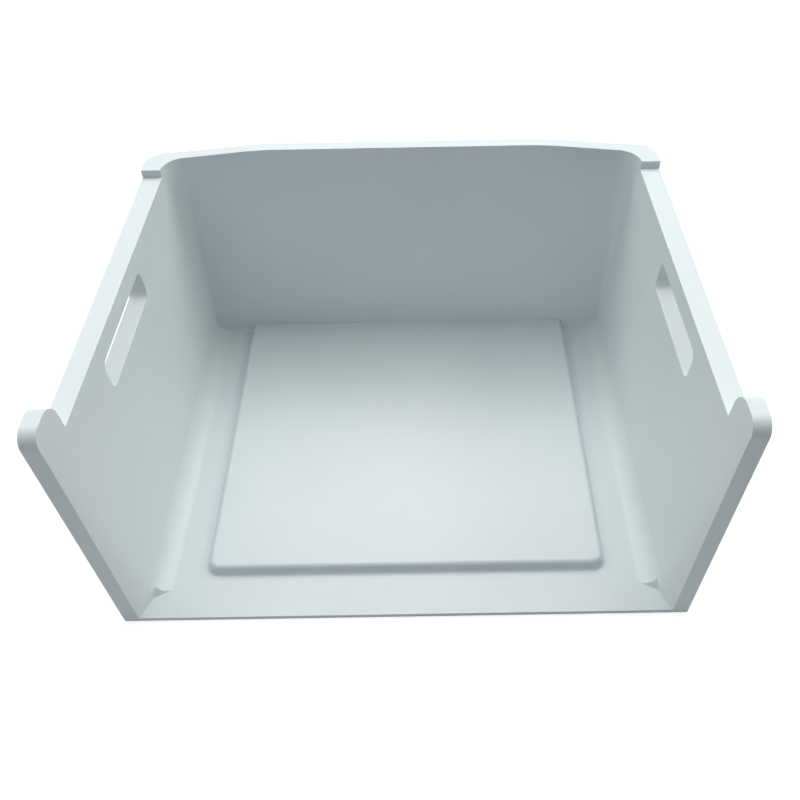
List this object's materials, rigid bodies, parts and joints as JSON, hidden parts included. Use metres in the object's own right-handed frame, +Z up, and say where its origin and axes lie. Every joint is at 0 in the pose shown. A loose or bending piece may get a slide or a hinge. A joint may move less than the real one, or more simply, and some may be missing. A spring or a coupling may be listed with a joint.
{
  "type": "freezer drawer",
  "caption": "Open-fronted moulded freezer drawer with a raised floor panel, folded-out rims, front ears and hand slots in the sides.",
  "frame": {"origin": "middle of the base", "axes": "+X across the drawer to the right seen from the front, +Y from the open front to the back, +Z up"},
  "size_m": [0.43, 0.329, 0.213],
  "materials": {
    "body": "smooth moulded white plastic"
  },
  "bodies": {
    "root": {"drawer": "body"}
  },
  "joints": []
}
